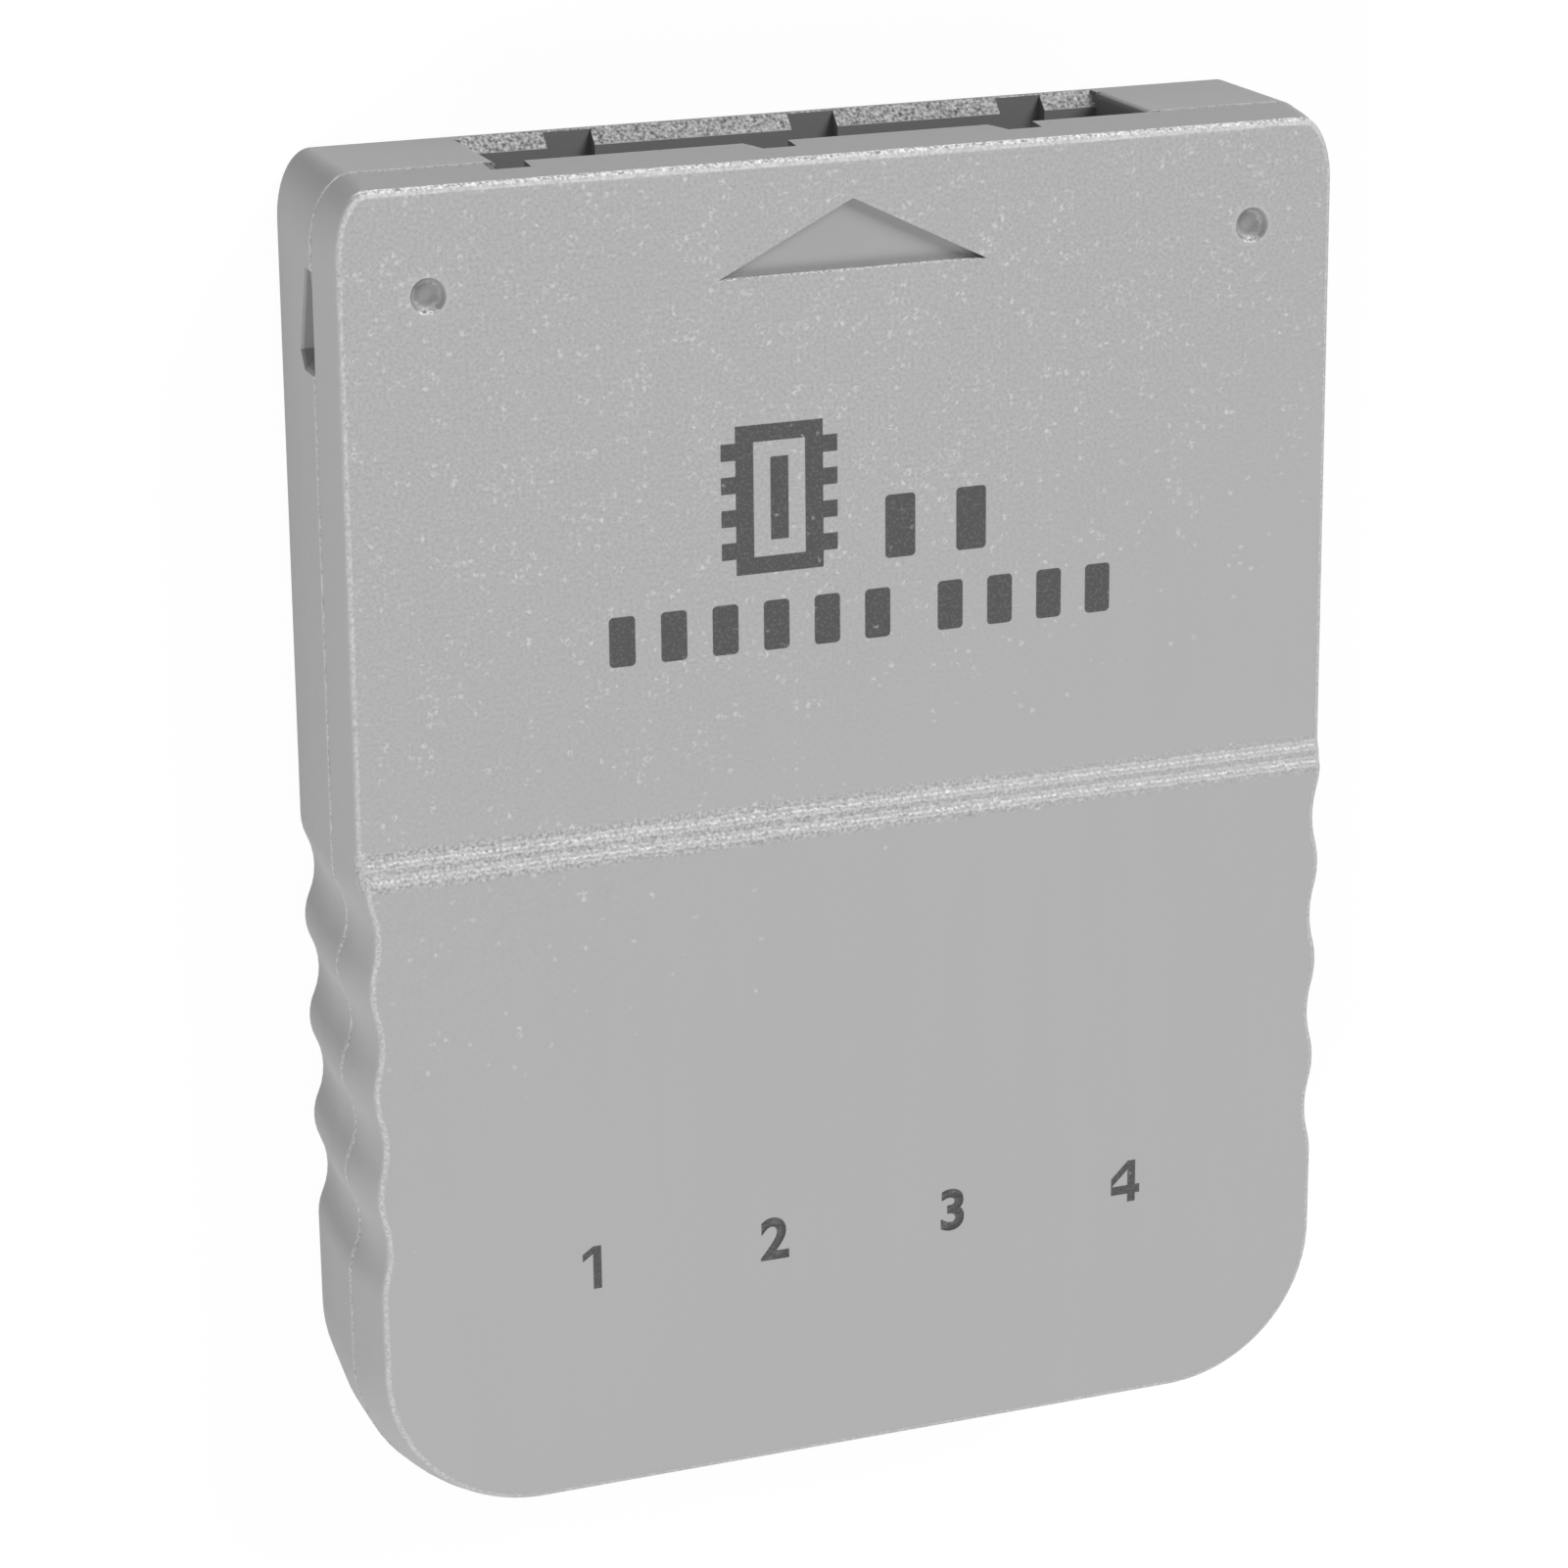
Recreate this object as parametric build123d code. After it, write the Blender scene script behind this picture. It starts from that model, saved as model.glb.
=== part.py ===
from build123d import *
import math
import os

# Console memory card lying on its back, in millimetres.
# The origin is the middle of the flat back face, +Z points out of the printed front,
# +Y points to the connector end and +X to the right of the printed front.

# Overall case
card_width = 42.0
card_length = 54.9
body_thickness = 8.4
grip_rise = 0.6
joint_height = 6.0
panel = 1.1
side_wall = 1.5
end_wall = 1.5

# Outline, a little narrower at the connector end, where the corners are longer along the sides than across
end_taper = 0.15
corner_across = 1.65
corner_along = 2.9
tail_corner_radius = 6.5

# Grip scallops along both sides, shallower at the front edge and leaning a little
groove_count = 4
groove_pitch = 4.35
groove_depth = 0.5
front_groove_depth = 0.27
back_groove_depth = 0.47
groove_valley_share = 0.55
first_valley = 25.6
shell_stagger = 0.1
front_groove_lean = 0.1
back_groove_lean = 0.25

# Soft step across the front where the grip half begins, in two short rises
step_from_tail = 28.15
step_rises = 2
step_rise_length = 0.6

# Edges, with the front shell's sides drawn in along a soft curve and the back shell's sides below a crease
front_waist_inset = 0.2
front_edge_inset = 0.56
front_edge_radius = 0.35
rear_band = 3.5
rear_band_inset = 0.25
back_edge_chamfer = 0.3

# Fine ledge where the two shells meet
joint_ledge = 0.04

# Sunk arrow and round dimples on the front
arrow_apex_inset = 2.0
arrow_base_inset = 4.8
arrow_half_width = 5.59
arrow_depth = 0.4
dimple_spacing = 34.0
dimple_inset = 4.4
dimple_diameter = 1.42
dimple_depth = 0.55

# Detent pocket on each side of the back shell
pocket_top_inset = 3.6
pocket_bottom_inset = 7.75
pocket_bottom_slant = 0.8
pocket_shallow = 0.12
pocket_deep = 0.85
pocket_narrow = 0.85
pocket_wide = 1.9
pocket_heel = 1.3

# Connector mouth
mouth_width = 26.9
mouth_rim_depth = 4.5
mouth_edge_radius = 0.3
lead_in_top = 0.5
lead_in_drop = 0.6
slot_width = 1.95
slot_floor = 0.55
slot_reach = 3.0
slot_left_x = -8.95
slot_middle_x = 1.22
slot_right_x = 10.2

# Key notches in the front rim of the mouth
notch_depth = 0.92
end_notch_overhang = 0.55
end_notch_width = 1.6
middle_notch_edge = -1.75
middle_notch_width = 1.35
right_notch_edge = 8.5
right_notch_width = 1.4
notch_slope = 0.5

# Guides beside the mouth and the land under the board's tab
cheek_thickness = 1.0
cheek_length = 10.0

# Tongue of the front shell in the rebate of the back shell
tongue_height = 0.8
tongue_thickness = 0.7
tongue_clearance = 0.08
tongue_end_inset = 12.8
cavity_corner_radius = 0.6

# Eight-sided pins of the front shell in sockets of the back shell
post_sides = 8
pin_width = 2.0
pin_clearance = 0.1
pin_end_gap = 0.2
socket_wall = 0.85
socket_top_gap = 0.25
socket_bore_floor = 2.4
upper_pin_x = 16.6
upper_pin_inset = 8.4
lower_pin_x = 12.0
lower_pin_inset = 5.2

# Circuit board
board_seat = 2.1
board_thickness = 1.2
board_width = 34.0
board_tail_inset = 7.5
board_shoulder_inset = 12.3
tab_clearance = 0.3
tab_inset = 4.7
tab_overhang = 0.2
board_corner_radius = 0.8
peg_width = 1.8
peg_clearance = 0.2
peg_x = 14.6
peg_y = 0.0
peg_proud = 0.5
rib_thickness = 1.2
rib_width = 30.0
tail_rib_from_board_end = 7.3
middle_rib_y = 2.5

# Contact pads on the tab
contact_count = 8
contact_width = 2.0
contact_side_gap = 0.9
contact_length = 6.0
contact_thickness = 0.08
contact_end_gap = 0.3

# Controller and memory chips
chip_width = 7.5
chip_height = 2.2
chip_standoff = 0.15
lead_pitch = 1.27
lead_width = 0.42
lead_thickness = 0.22
lead_span = 10.2
lead_shoulder = 0.55
frame_margin = 1.2
frame_side = 0.4
controller_length = 10.3
controller_leads_per_side = 8
controller_from_shoulder = 6.5
memory_length = 12.8
memory_leads_per_side = 10
memory_from_board_end = 11.2

# Small parts on the board
capacitor_length = 2.0
capacitor_width = 1.25
capacitor_height = 0.9
capacitor_x = 10.6
bulk_capacitor_x = 13.0
resistor_length = 1.6
resistor_width = 0.8
resistor_height = 0.5
resistor_from_lamp = 2.3
lamp_length = 1.6
lamp_width = 0.8
lamp_height = 0.7
lamp_inset = 10.35
lamp_pitch = 7.85
lamp_count = 4

# Values that follow from the ones above
half_width = card_width / 2
half_length = card_length / 2
front_height = body_thickness + grip_rise
half_mouth = mouth_width / 2
cavity_half_width = half_width - groove_depth - side_wall
cavity_half_length = half_length - end_wall
tail_cavity_radius = tail_corner_radius - end_wall
step_center = step_from_tail - half_length
upper_ceiling = body_thickness - panel
grip_ceiling = front_height - panel
step_top = step_center - step_rises * step_rise_length / 2
step_bottom = step_center + step_rises * step_rise_length / 2
waist_height = (joint_height + front_height) / 2
waist_groove_depth = (groove_depth + front_groove_depth) / 2
waist_valley = first_valley - front_groove_lean / 2
crown_valley = first_valley - front_groove_lean
back_valley = first_valley + shell_stagger
foot_valley = back_valley + back_groove_lean
cheek_half_width = half_mouth + cheek_thickness
cheek_start = cavity_half_length - cheek_length
socket_width = pin_width + pin_clearance + 2 * socket_wall
board_top = board_seat + board_thickness
tab_end = half_length - tab_inset
half_tab = half_mouth - tab_clearance
board_tail_y = board_tail_inset - half_length
board_shoulder_y = half_length - board_shoulder_inset
tail_rib_y = board_tail_y + tail_rib_from_board_end
tongue_end = half_length - tongue_end_inset
upper_pin_y = half_length - upper_pin_inset
lower_pin_y = lower_pin_inset - half_length
contact_pitch = (2 * half_tab - 2 * contact_side_gap - contact_width) / (contact_count - 1)
controller_y = board_shoulder_y - controller_from_shoulder
memory_y = board_tail_y + memory_from_board_end
lamp_y = lamp_inset - half_length
resistor_y = lamp_y + resistor_from_lamp


def block(x0, x1, y0, y1, z0, z1):
    """Plain block between two corners."""
    return Pos((x0 + x1) / 2, (y0 + y1) / 2, (z0 + z1) / 2) * Box(x1 - x0, y1 - y0, z1 - z0)


def post(x, y, z0, z1, width):
    """Upright eight-sided post or bore, as wide across its flats as asked."""
    plan = RegularPolygon(width / 2, post_sides, major_radius=False)
    return Pos(x, y, z0) * extrude(plan, z1 - z0)


def grip_run(side, start, depth):
    """Row of soft scallops down the right side, as arcs that meet without a corner."""
    half_pitch = groove_pitch / 2
    radii = (half_pitch**2 + depth**2) / (2 * depth)
    crest = radii * (1 - groove_valley_share)
    sweep = math.asin(half_pitch / radii)
    crest_y = math.sin(sweep / 2) * crest
    crest_x = (1 - math.cos(sweep / 2)) * crest
    bend_y = math.sin(sweep) * crest
    bend_x = (1 - math.cos(sweep)) * crest
    edges = []
    for i in range(groove_count):
        crest_top = start - i * groove_pitch
        crest_end = crest_top - groove_pitch
        bend_in = (side - bend_x, crest_top - bend_y)
        bend_out = (side - bend_x, crest_end + bend_y)
        enter = (side - crest_x, crest_top - crest_y)
        leave = (side - crest_x, crest_end + crest_y)
        bottom = (side - depth, crest_top - half_pitch)
        edges += [ThreePointArc((side, crest_top), enter, bend_in)]
        edges += [ThreePointArc(bend_in, bottom, bend_out)]
        edges += [ThreePointArc(bend_out, leave, (side, crest_end))]
    return edges


def case_outline(valley, depth, inset=0.0, setback=0.0):
    """Case outline with the grip on both sides, drawn inside the full outline by the inset."""
    side = half_width - inset
    top = half_length - inset - setback
    tail = inset - half_length
    across = corner_across - inset
    along = corner_along - inset
    end_side = side - end_taper
    slant = math.sqrt(0.5) * tail_corner_radius
    grip_start = valley + groove_pitch / 2 - half_length
    grip_end = grip_start - groove_count * groove_pitch
    tail_side = side - tail_corner_radius
    tail_center = tail + tail_corner_radius
    upper = EllipticalCenterArc((end_side - across, top - along), across, along, arc_size=90)
    lower = ThreePointArc((side, tail_center), (tail_side + slant, tail_center - slant), (tail_side, tail))
    right_side = [upper, Line((end_side, top - along), (side, grip_start))]
    right_side += grip_run(side, grip_start, depth)
    right_side += [Line((side, grip_end), (side, tail_center)), lower]
    right_side = Curve() + right_side
    edges = right_side.edges() + mirror(right_side, Plane.YZ).edges()
    edges += [Line((across - end_side, top), (end_side - across, top))]
    edges += [Line((-tail_side, tail), (tail_side, tail))]
    return make_face(edges)


def cavity(z0, z1, grow=0.0):
    """Block of the space inside the walls, with the wide corners at the tail."""
    plan = Rectangle(2 * (cavity_half_width + grow), 2 * (cavity_half_length + grow))
    corners = plan.vertices().sort_by(Axis.Y)
    plan = fillet(corners[:2], tail_cavity_radius + grow)
    corners = plan.vertices().sort_by(Axis.Y)
    plan = fillet(corners[-2:], cavity_corner_radius + grow)
    return Pos(0, 0, z0) * extrude(plan, z1 - z0)


def front_profile():
    """Side view of everything below the front face, with the soft step, as a bar across the card."""
    reach = card_length
    rise = grip_rise / step_rises
    line = [Line((reach, 0), (reach, body_thickness))]
    line += [Line((reach, body_thickness), (step_bottom, body_thickness))]
    for i in range(step_rises):
        low = (step_bottom - i * step_rise_length, body_thickness + i * rise)
        high = (low[0] - step_rise_length, low[1] + rise)
        middle = ((low[0] + high[0]) / 2, (low[1] + high[1]) / 2)
        line += [TangentArc(low, middle, tangent=(-1, 0))]
        line += [TangentArc(high, middle, tangent=(1, 0))]
    line += [Line((step_top, front_height), (-reach, front_height))]
    line += [Line((-reach, front_height), (-reach, 0))]
    line += [Line((-reach, 0), (reach, 0))]
    plan = make_face(line)
    return Plane.YZ * extrude(plan, card_width, both=True)


def key_notch(edge, width):
    """Key notch across the front rim, upright on its right and sloped on its left."""
    top = joint_height + notch_depth
    corners = [(edge, joint_height), (edge, top)]
    corners += [(edge - width, top), (edge - width - notch_slope, joint_height)]
    plan = make_face(Polyline(*corners, close=True))
    bar = Plane.XZ * extrude(plan, mouth_rim_depth + end_wall)
    return Pos(0, half_length + end_wall, 0) * bar


def side_pocket():
    """Detent pocket in the right side of the back shell, deeper and wider toward the tail."""
    high = half_length - pocket_top_inset
    low = half_length - pocket_bottom_inset
    heel = low + pocket_bottom_slant
    side = half_width - end_taper
    outside = half_width + pocket_deep
    corners = [(outside, high), (side - pocket_shallow, high)]
    corners += [(side - pocket_deep, heel), (half_width, low), (outside, low)]
    plan = make_face(Polyline(*corners, close=True))
    from_above = extrude(plan, front_height)
    corners = [(high, joint_height), (high, joint_height - pocket_narrow)]
    corners += [(heel, joint_height - pocket_wide), (low, joint_height - pocket_heel), (low, joint_height)]
    side_view = make_face(Polyline(*corners, close=True))
    return from_above & (Plane.YZ * extrude(side_view, outside))


def front_shell():
    """Front half of the case, with everything moulded on it."""
    foot = case_outline(first_valley, groove_depth, inset=joint_ledge)
    waist = case_outline(waist_valley, waist_groove_depth, inset=front_waist_inset)
    crown = case_outline(crown_valley, front_groove_depth, inset=front_edge_inset)
    sections = [Pos(0, 0, joint_height) * foot, Pos(0, 0, waist_height) * waist]
    sections += [Pos(0, 0, front_height) * crown]
    shell = loft(sections) & front_profile()
    rim = shell.edges().filter_by(lambda e: e.bounding_box().min.Z > body_thickness - front_edge_radius)
    seams = rim.filter_by(Axis.X).filter_by_position(Axis.Y, step_top - side_wall, step_bottom + side_wall)
    shell = fillet([edge for edge in rim if edge not in seams], front_edge_radius)
    shell -= cavity(joint_height, upper_ceiling)
    grip_room = block(-half_width, half_width, -half_length, step_top, joint_height, grip_ceiling)
    shell -= cavity(joint_height, grip_ceiling) & grip_room
    rim_start = half_length - mouth_rim_depth
    shell += block(-half_mouth, half_mouth, rim_start, cavity_half_length, joint_height, upper_ceiling)
    for sign in (-1, 1):
        near = min(sign * half_mouth, sign * cheek_half_width)
        far = max(sign * half_mouth, sign * cheek_half_width)
        shell += block(near, far, cheek_start, cavity_half_length, joint_height, upper_ceiling)
        pin_bottom = socket_bore_floor + pin_end_gap
        shell += post(sign * upper_pin_x, upper_pin_y, pin_bottom, upper_ceiling, pin_width)
        shell += post(sign * lower_pin_x, lower_pin_y, pin_bottom, grip_ceiling, pin_width)
    tongue_bottom = joint_height - tongue_height
    tongue = cavity(tongue_bottom, joint_height, grow=tongue_thickness - tongue_clearance)
    tongue -= cavity(tongue_bottom, joint_height)
    shell += tongue & block(-half_width, half_width, -half_length, tongue_end, tongue_bottom, joint_height)
    out = half_length + end_wall
    notch_top = joint_height + notch_depth
    notch_left = -half_mouth - end_notch_overhang
    notch_right = notch_left + end_notch_width
    shell -= block(notch_left, notch_right, rim_start, out, joint_height, notch_top)
    shell -= key_notch(middle_notch_edge, middle_notch_width)
    shell -= key_notch(right_notch_edge, right_notch_width)
    apex = (0, half_length - arrow_apex_inset)
    left = (-arrow_half_width, half_length - arrow_base_inset)
    right = (arrow_half_width, half_length - arrow_base_inset)
    arrow = make_face(Polyline(apex, left, right, close=True))
    shell -= Pos(0, 0, body_thickness - arrow_depth) * extrude(arrow, grip_rise)
    ball = ((dimple_diameter / 2) ** 2 + dimple_depth**2) / (2 * dimple_depth)
    for sign in (-1, 1):
        ball_height = body_thickness - dimple_depth + ball
        spot = Pos(sign * dimple_spacing / 2, half_length - dimple_inset, ball_height)
        shell -= spot * Sphere(ball)
    return shell


def back_shell():
    """Back half of the case, with everything moulded on it."""
    outline = case_outline(back_valley, groove_depth)
    foot = case_outline(foot_valley, back_groove_depth, inset=rear_band_inset, setback=-rear_band_inset)
    shell = loft([foot, Pos(0, 0, rear_band) * outline], ruled=True)
    shell += Pos(0, 0, rear_band) * extrude(outline, joint_height - rear_band)
    shell = chamfer(shell.edges().group_by(Axis.Z)[0], back_edge_chamfer)
    shell -= cavity(panel, joint_height)
    rebate_bottom = joint_height - tongue_height - tongue_clearance
    rebate = cavity(rebate_bottom, joint_height, grow=tongue_thickness)
    rebate_end = tongue_end + tongue_clearance
    shell -= rebate & block(-half_width, half_width, -half_length, rebate_end, rebate_bottom, joint_height)
    land_end = tab_end - tab_overhang
    shell += block(-cheek_half_width, cheek_half_width, cheek_start, land_end, panel, board_seat)
    for sign in (-1, 1):
        near = min(sign * half_mouth, sign * cheek_half_width)
        far = max(sign * half_mouth, sign * cheek_half_width)
        shell += block(near, far, cheek_start, cavity_half_length, panel, joint_height)
        for x, y in ((upper_pin_x, upper_pin_y), (lower_pin_x, lower_pin_y)):
            socket_top = joint_height - socket_top_gap
            shell += post(sign * x, y, panel, socket_top, socket_width)
            shell -= post(sign * x, y, socket_bore_floor, socket_top, pin_width + pin_clearance)
        shell += post(sign * peg_x, peg_y, panel, board_top + peg_proud, peg_width)
    for y in (tail_rib_y, middle_rib_y):
        near = y - rib_thickness / 2
        shell += block(-rib_width / 2, rib_width / 2, near, near + rib_thickness, panel, board_seat)
    out = half_length + end_wall
    shell -= block(-half_mouth, half_mouth, cavity_half_length, out, panel, joint_height)
    corners = shell.edges().filter_by(Axis.Z).filter_by_position(Axis.Y, half_length - lead_in_drop, out)
    shell = fillet(corners, mouth_edge_radius)
    corners = [(half_length - lead_in_drop, panel), (half_length, lead_in_top)]
    corners += [(out, lead_in_top), (out, panel)]
    lead_in = make_face(Polyline(*corners, close=True))
    shell -= Plane.YZ * extrude(lead_in, half_mouth, both=True)
    for x in (slot_left_x, slot_middle_x, slot_right_x):
        slot_start = half_length - slot_reach
        shell -= block(x - slot_width / 2, x + slot_width / 2, slot_start, out, slot_floor, panel)
    shell -= side_pocket()
    shell -= mirror(side_pocket(), Plane.YZ)
    return shell


def circuit_board():
    """Board with a narrow tab toward the mouth and two holes for the pegs."""
    board = block(-board_width / 2, board_width / 2, board_tail_y, board_shoulder_y, board_seat, board_top)
    board = fillet(board.edges().filter_by(Axis.Z), board_corner_radius)
    board += block(-half_tab, half_tab, board_shoulder_y, tab_end, board_seat, board_top)
    for sign in (-1, 1):
        board -= post(sign * peg_x, peg_y, board_seat, board_top, peg_width + peg_clearance)
    return board


def lead_frame(y, length, leads):
    """Flat frame with bent leads on both long sides of a chip."""
    middle = board_top + chip_standoff + chip_height / 2
    low = middle - lead_thickness / 2
    high = middle + lead_thickness / 2
    start = chip_width / 2 - frame_margin
    knee = chip_width / 2 + lead_shoulder
    foot_top = board_top + lead_thickness
    corners = [(start, high), (knee, high), (knee, foot_top), (lead_span / 2, foot_top)]
    corners += [(lead_span / 2, board_top), (knee - lead_thickness, board_top)]
    corners += [(knee - lead_thickness, low), (start, low)]
    strip = make_face(Polyline(*corners, close=True))
    lead = Plane.YZ * extrude(strip, lead_width / 2, both=True)
    half_frame = length / 2 - frame_side
    frame = block(-half_frame, half_frame, -start, start, low, high)
    for i in range(leads):
        x = (i - (leads - 1) / 2) * lead_pitch
        frame += Pos(x, 0, 0) * lead
        frame += Pos(x, 0, 0) * mirror(lead, Plane.XZ)
    return Pos(0, y, 0) * frame


def chip_body(y, length, frame):
    """Moulded body of a chip, closed around its frame."""
    low = board_top + chip_standoff
    body = block(-length / 2, length / 2, y - chip_width / 2, y + chip_width / 2, low, low + chip_height)
    return body - frame


def small_part(x, y, length, width, height):
    """Small part soldered flat on the board."""
    half_x = length / 2
    half_y = width / 2
    return block(x - half_x, x + half_x, y - half_y, y + half_y, board_top, board_top + height)


def save(node, solid):
    """Write one sub-part."""
    export_step(solid, f"parts/{node}.step")


os.makedirs("parts", exist_ok=True)
save("front_shell", front_shell())
save("back_shell", back_shell())
save("circuit_board", circuit_board())

pad_end = tab_end - contact_end_gap
for i in range(contact_count):
    pad_x = (i - (contact_count - 1) / 2) * contact_pitch
    pad_y = pad_end - contact_length / 2
    save(f"contact_{i + 1}", small_part(pad_x, pad_y, contact_width, contact_length, contact_thickness))

controller_leads = lead_frame(controller_y, controller_length, controller_leads_per_side)
save("controller_leads", controller_leads)
save("controller_body", chip_body(controller_y, controller_length, controller_leads))
memory_leads = lead_frame(memory_y, memory_length, memory_leads_per_side)
save("memory_leads", memory_leads)
save("memory_body", chip_body(memory_y, memory_length, memory_leads))

capacitor_spots = [(-capacitor_x, controller_y), (capacitor_x, controller_y), (bulk_capacitor_x, memory_y)]
for i, (spot_x, spot_y) in enumerate(capacitor_spots):
    part = small_part(spot_x, spot_y, capacitor_length, capacitor_width, capacitor_height)
    save(f"capacitor_{i + 1}", part)

for i in range(lamp_count):
    lamp_x = (i - (lamp_count - 1) / 2) * lamp_pitch
    save(f"page_lamp_{i + 1}", small_part(lamp_x, lamp_y, lamp_length, lamp_width, lamp_height))
    resistor = small_part(lamp_x, resistor_y, resistor_length, resistor_width, resistor_height)
    save(f"resistor_{i + 1}", resistor)
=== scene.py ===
import bpy
from mathutils import Matrix, Vector


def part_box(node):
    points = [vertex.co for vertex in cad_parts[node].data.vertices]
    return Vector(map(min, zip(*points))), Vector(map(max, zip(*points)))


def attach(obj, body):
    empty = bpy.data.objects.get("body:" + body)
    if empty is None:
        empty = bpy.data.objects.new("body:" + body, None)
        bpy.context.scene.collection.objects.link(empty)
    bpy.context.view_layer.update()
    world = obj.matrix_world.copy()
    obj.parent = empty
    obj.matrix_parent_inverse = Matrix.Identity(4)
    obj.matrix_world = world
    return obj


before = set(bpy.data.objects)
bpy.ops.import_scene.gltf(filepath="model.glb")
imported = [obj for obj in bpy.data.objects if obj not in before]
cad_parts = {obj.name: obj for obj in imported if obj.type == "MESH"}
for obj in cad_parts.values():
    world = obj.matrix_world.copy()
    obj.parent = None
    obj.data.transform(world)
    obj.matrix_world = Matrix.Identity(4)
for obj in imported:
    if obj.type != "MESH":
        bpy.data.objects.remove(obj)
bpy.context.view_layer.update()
MM = 0.001

# Places on the case, in millimetres of the shared frame
UPPER_FACE = 8.4
GRIP_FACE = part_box("front_shell")[1][2] / MM
CONNECTOR_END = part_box("back_shell")[1][1] / MM
STEP_TOP = 0.1
STEP_FOOT = 1.3
JOINT_HEIGHT = 6.0
LEAD_IN_START = CONNECTOR_END - 0.6
LEAD_IN_TOP = 1.1
EDGE_START = 7.9
ARROW_FLOOR = 8.0
DIMPLE_X = 17.0
DIMPLE_Y = CONNECTOR_END - 4.4
DIMPLE_RADIUS = 0.71
DIMPLE_RISE = (7.5, 7.6)
ARROW_BASE = CONNECTOR_END - 4.8
POCKET_FLOOR = 20.75
POCKET_INSIDE = (19.2, 19.4)
POCKET_SPAN = (CONNECTOR_END - 8.1, CONNECTOR_END - 3.4)
POCKET_RISE = (3.8, 6.05)
MOUTH_HALF = 13.9
MOUTH_LOW = 0.5
MOUTH_HIGH = 7.5
MOUTH_START = CONNECTOR_END - 12
FADE_WIDTH = 0.05

# Colours as they are seen in even light
INK_GREY = (0.088, 0.088, 0.09, 1)
INK_WORN = (0.135, 0.135, 0.137, 1)
INK_BARE = (0.36, 0.36, 0.36, 1)
BOARD_MASK = (0.012, 0.105, 0.035, 1)
BOARD_TRACK = (0.03, 0.2, 0.075, 1)
BOARD_WEAVE = (0.045, 0.22, 0.09, 1)
CHIP_DARK = (0.016, 0.016, 0.018, 1)
CHIP_LIGHT = (0.03, 0.03, 0.032, 1)
CHIP_FLECK = (0.09, 0.09, 0.09, 1)
SOLDER = (0.6, 0.6, 0.58, 1)
CONTACT_GOLD = ((0.88, 0.63, 0.22, 1), (0.7, 0.46, 0.14, 1))
LEAD_TIN = ((0.68, 0.68, 0.66, 1), (0.5, 0.5, 0.48, 1))
CAPACITOR_BROWN = ((0.3, 0.19, 0.1, 1), (0.42, 0.29, 0.17, 1))
RESISTOR_BLACK = ((0.02, 0.02, 0.022, 1), (0.05, 0.05, 0.052, 1))
LAMP_CREAM = ((0.62, 0.6, 0.5, 1), (0.8, 0.78, 0.68, 1))
SOLDERED_END = 0.32

# Grey of the plastic, and how much lighter or darker each place on it is painted, mostly as painted light and
# shade
SHELL_GREY = 0.468
TONE_RANGE = 0.02
SHELL_SHADES = {
    # The arrow floor is smoother and also painted darker as shade in its recess; its foot carries a painted
    # shadow
    "arrow_floor": -0.065,
    "arrow_foot": -0.05,
    # Painted highlights on the arrow lip, the front edges, the connector edge, the step rises and the joint
    "arrow_lip": 0.4,
    "edge": 0.12,
    "connector_edge": 0.1,
    "step_rise": 0.1,
    "joint": 0.15,
    "lead_in": -0.03,
    # Painted shade in the dimples with a painted highlight round their rims, and painted shade in the side
    # pockets, on the front shell's end face and inside the mouth
    "dimple_wall": -0.17,
    "dimple_rim": 0.04,
    "pocket": -0.17,
    "end_face": -0.04,
    "mouth": -0.25,
}
# Painted glints: how much the bright spots of the grain lighten the colour
PAINTED_GLINT = 0.17

# How coarse the grain is in each place, strongest on the painted highlights of the edges, arrow lip and
# joint, and how thick the painted glints lie there
GRAIN_SIZE = 0.14
SHELL_COARSENESS = {
    "grain": 0.2,
    "edge": 0.5,
    "step_speckle": 0.55,
    "lead_in": 1.2,
    "arrow_lip": 2.0,
    "joint": 0.9,
}
SHELL_GLINTS = {"grain": 0.5, "step": 0.5, "lead_in": 0.9}
GRAIN_LEAN = -0.6
GRAIN_FADE = (-6.0, 14.0)
GRAIN_THINNING = (2.0, 16.0)
STEP_CALMING = (-5.0, 15.0)

# Studio: strengths, and places in metres
WORLD_LIGHT = 0.31
FLOOR_GREY = (0.55, 0.55, 0.55, 1)
FLOOR_GLOW = 1.15
FLOOR_GLOW_SHARE = 0.8
LAMP_SIZE = 0.8
KEY_PLACE = (0.77, 0.84, 0.812)
KEY_POWER = 12.0
FILL_PLACE = (-0.91, -0.7, 0.798)
FILL_POWER = 11.2

# Printed marks
INK_THICKNESS = 0.02
INK_SINK = 0.006
DIGIT_HEIGHT = 1.85
DIGIT_Y = -17.1
DIGIT_FIRST_X = -11.75
DIGIT_PITCH = 7.85
DIGIT_STROKE = 0.33
DIGIT_FLAG = (-0.44, -0.3)
FOUR_REACH = 0.75
FOUR_STUB = 0.2
DIGIT_BOLDNESS = 0.028
SIGN_LEFT = -5.54
SIGN_RIGHT = -0.73
SIGN_LOW = 10.95
SIGN_HIGH = 16.9
SIGN_PIN = 0.6
BIG_BAR = (1.25, 2.55)
BIG_BAR_PLACES = ((1.92, 12.28), (4.94, 12.28))
SMALL_BAR = (1.05, 2.0)
SMALL_BAR_Y = 8.8
FIRST_RUN_X = -9.7
FIRST_RUN_BARS = 6
SECOND_RUN_X = 4.05
SECOND_RUN_BARS = 4
BAR_PITCH = 2.13
BAR_ROUNDING = 0.16


def feed(tree, socket, value):
    """Link another socket into a socket, or set its value."""
    if isinstance(value, bpy.types.NodeSocket):
        tree.links.new(value, socket)
    else:
        socket.default_value = value


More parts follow.
